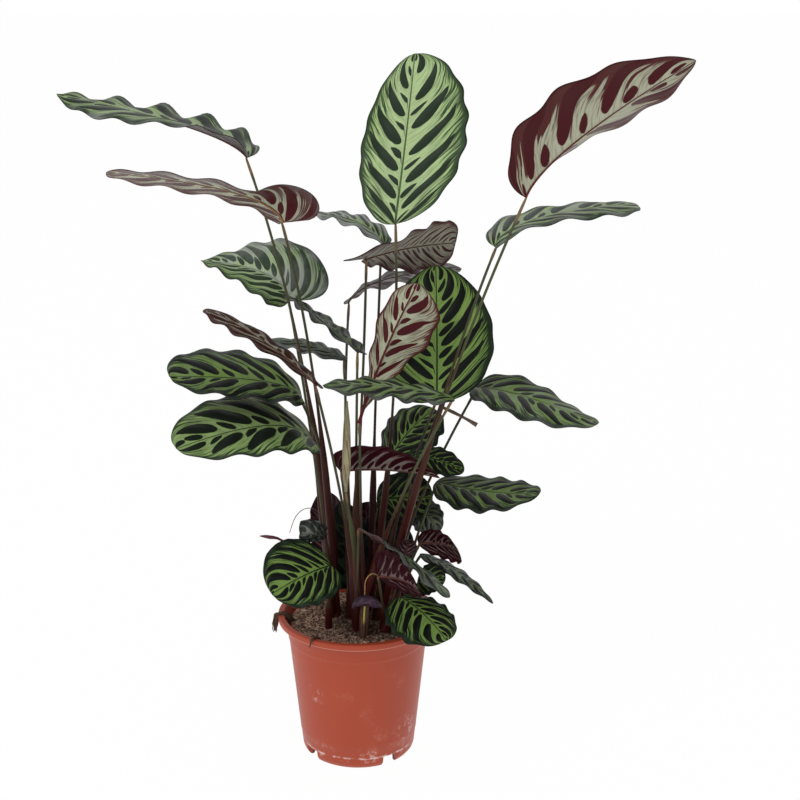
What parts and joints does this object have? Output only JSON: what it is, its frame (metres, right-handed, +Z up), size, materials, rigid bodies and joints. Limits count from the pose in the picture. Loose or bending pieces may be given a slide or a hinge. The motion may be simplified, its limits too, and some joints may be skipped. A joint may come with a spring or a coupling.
{
  "type": "potted peacock plant",
  "caption": "Leafy foliage plant with patterned oval blades on thin upright petioles, growing in peat in a tapered round nursery pot that stands on low feet.",
  "frame": {"origin": "on the ground under the middle of the whole plant, within millimetres of the pot's axis", "axes": "+Z up, -Y toward the viewer of the plant's front, +X to the viewer's right"},
  "size_m": [0.6393, 0.3535, 0.7557],
  "materials": {
    "pot": "terracotta-red moulded plastic, satin, with pale scuffs near the feet",
    "soil": "fibrous brown peat with tan fibres",
    "petiole": "smooth living stem, tan and green above, dark red below",
    "leaf": "satin leaf, yellow-green with dark green ovals above, grey-green with burgundy ovals below"
  },
  "bodies": {
    "root": {"pot": "pot", "soil": "soil", "shoot_left": "petiole", "shoot_middle": "petiole", "shoot_back": "petiole", "shoot_right": "petiole", "shoot_front": "petiole", "shoot_low_right": "petiole", "shoot_low_front": "petiole", "shoot_low_left": "petiole", "bud": "petiole", "leaf_top_left": "leaf", "leaf_left_high": "leaf", "leaf_back_high": "leaf", "leaf_top_middle": "leaf", "leaf_top_right": "leaf", "leaf_right_level": "leaf", "leaf_left_pale": "leaf", "leaf_left_edge_on": "leaf", "leaf_back_ribbon": "leaf", "leaf_back_folded": "leaf", "leaf_middle_underside": "leaf", "leaf_middle_bright": "leaf", "leaf_left_ribbon": "leaf", "leaf_left_behind": "leaf", "leaf_left_bright": "leaf", "leaf_left_low": "leaf", "leaf_front_level": "leaf", "leaf_right_low": "leaf", "leaf_back_upright": "leaf", "leaf_low_right": "leaf", "leaf_middle_purple": "leaf", "leaf_middle_dark": "leaf", "leaf_inner_bright": "leaf", "leaf_inner_grey": "leaf", "leaf_low_purple": "leaf", "leaf_low_small": "leaf", "leaf_front_purple": "leaf", "leaf_low_ribbon": "leaf", "leaf_low_dark": "leaf", "leaf_low_long": "leaf", "leaf_front_right": "leaf", "leaf_front_left": "leaf", "leaf_left_inner": "leaf", "leaf_back_inner": "leaf", "leaf_rolled": "leaf"}
  },
  "joints": []
}
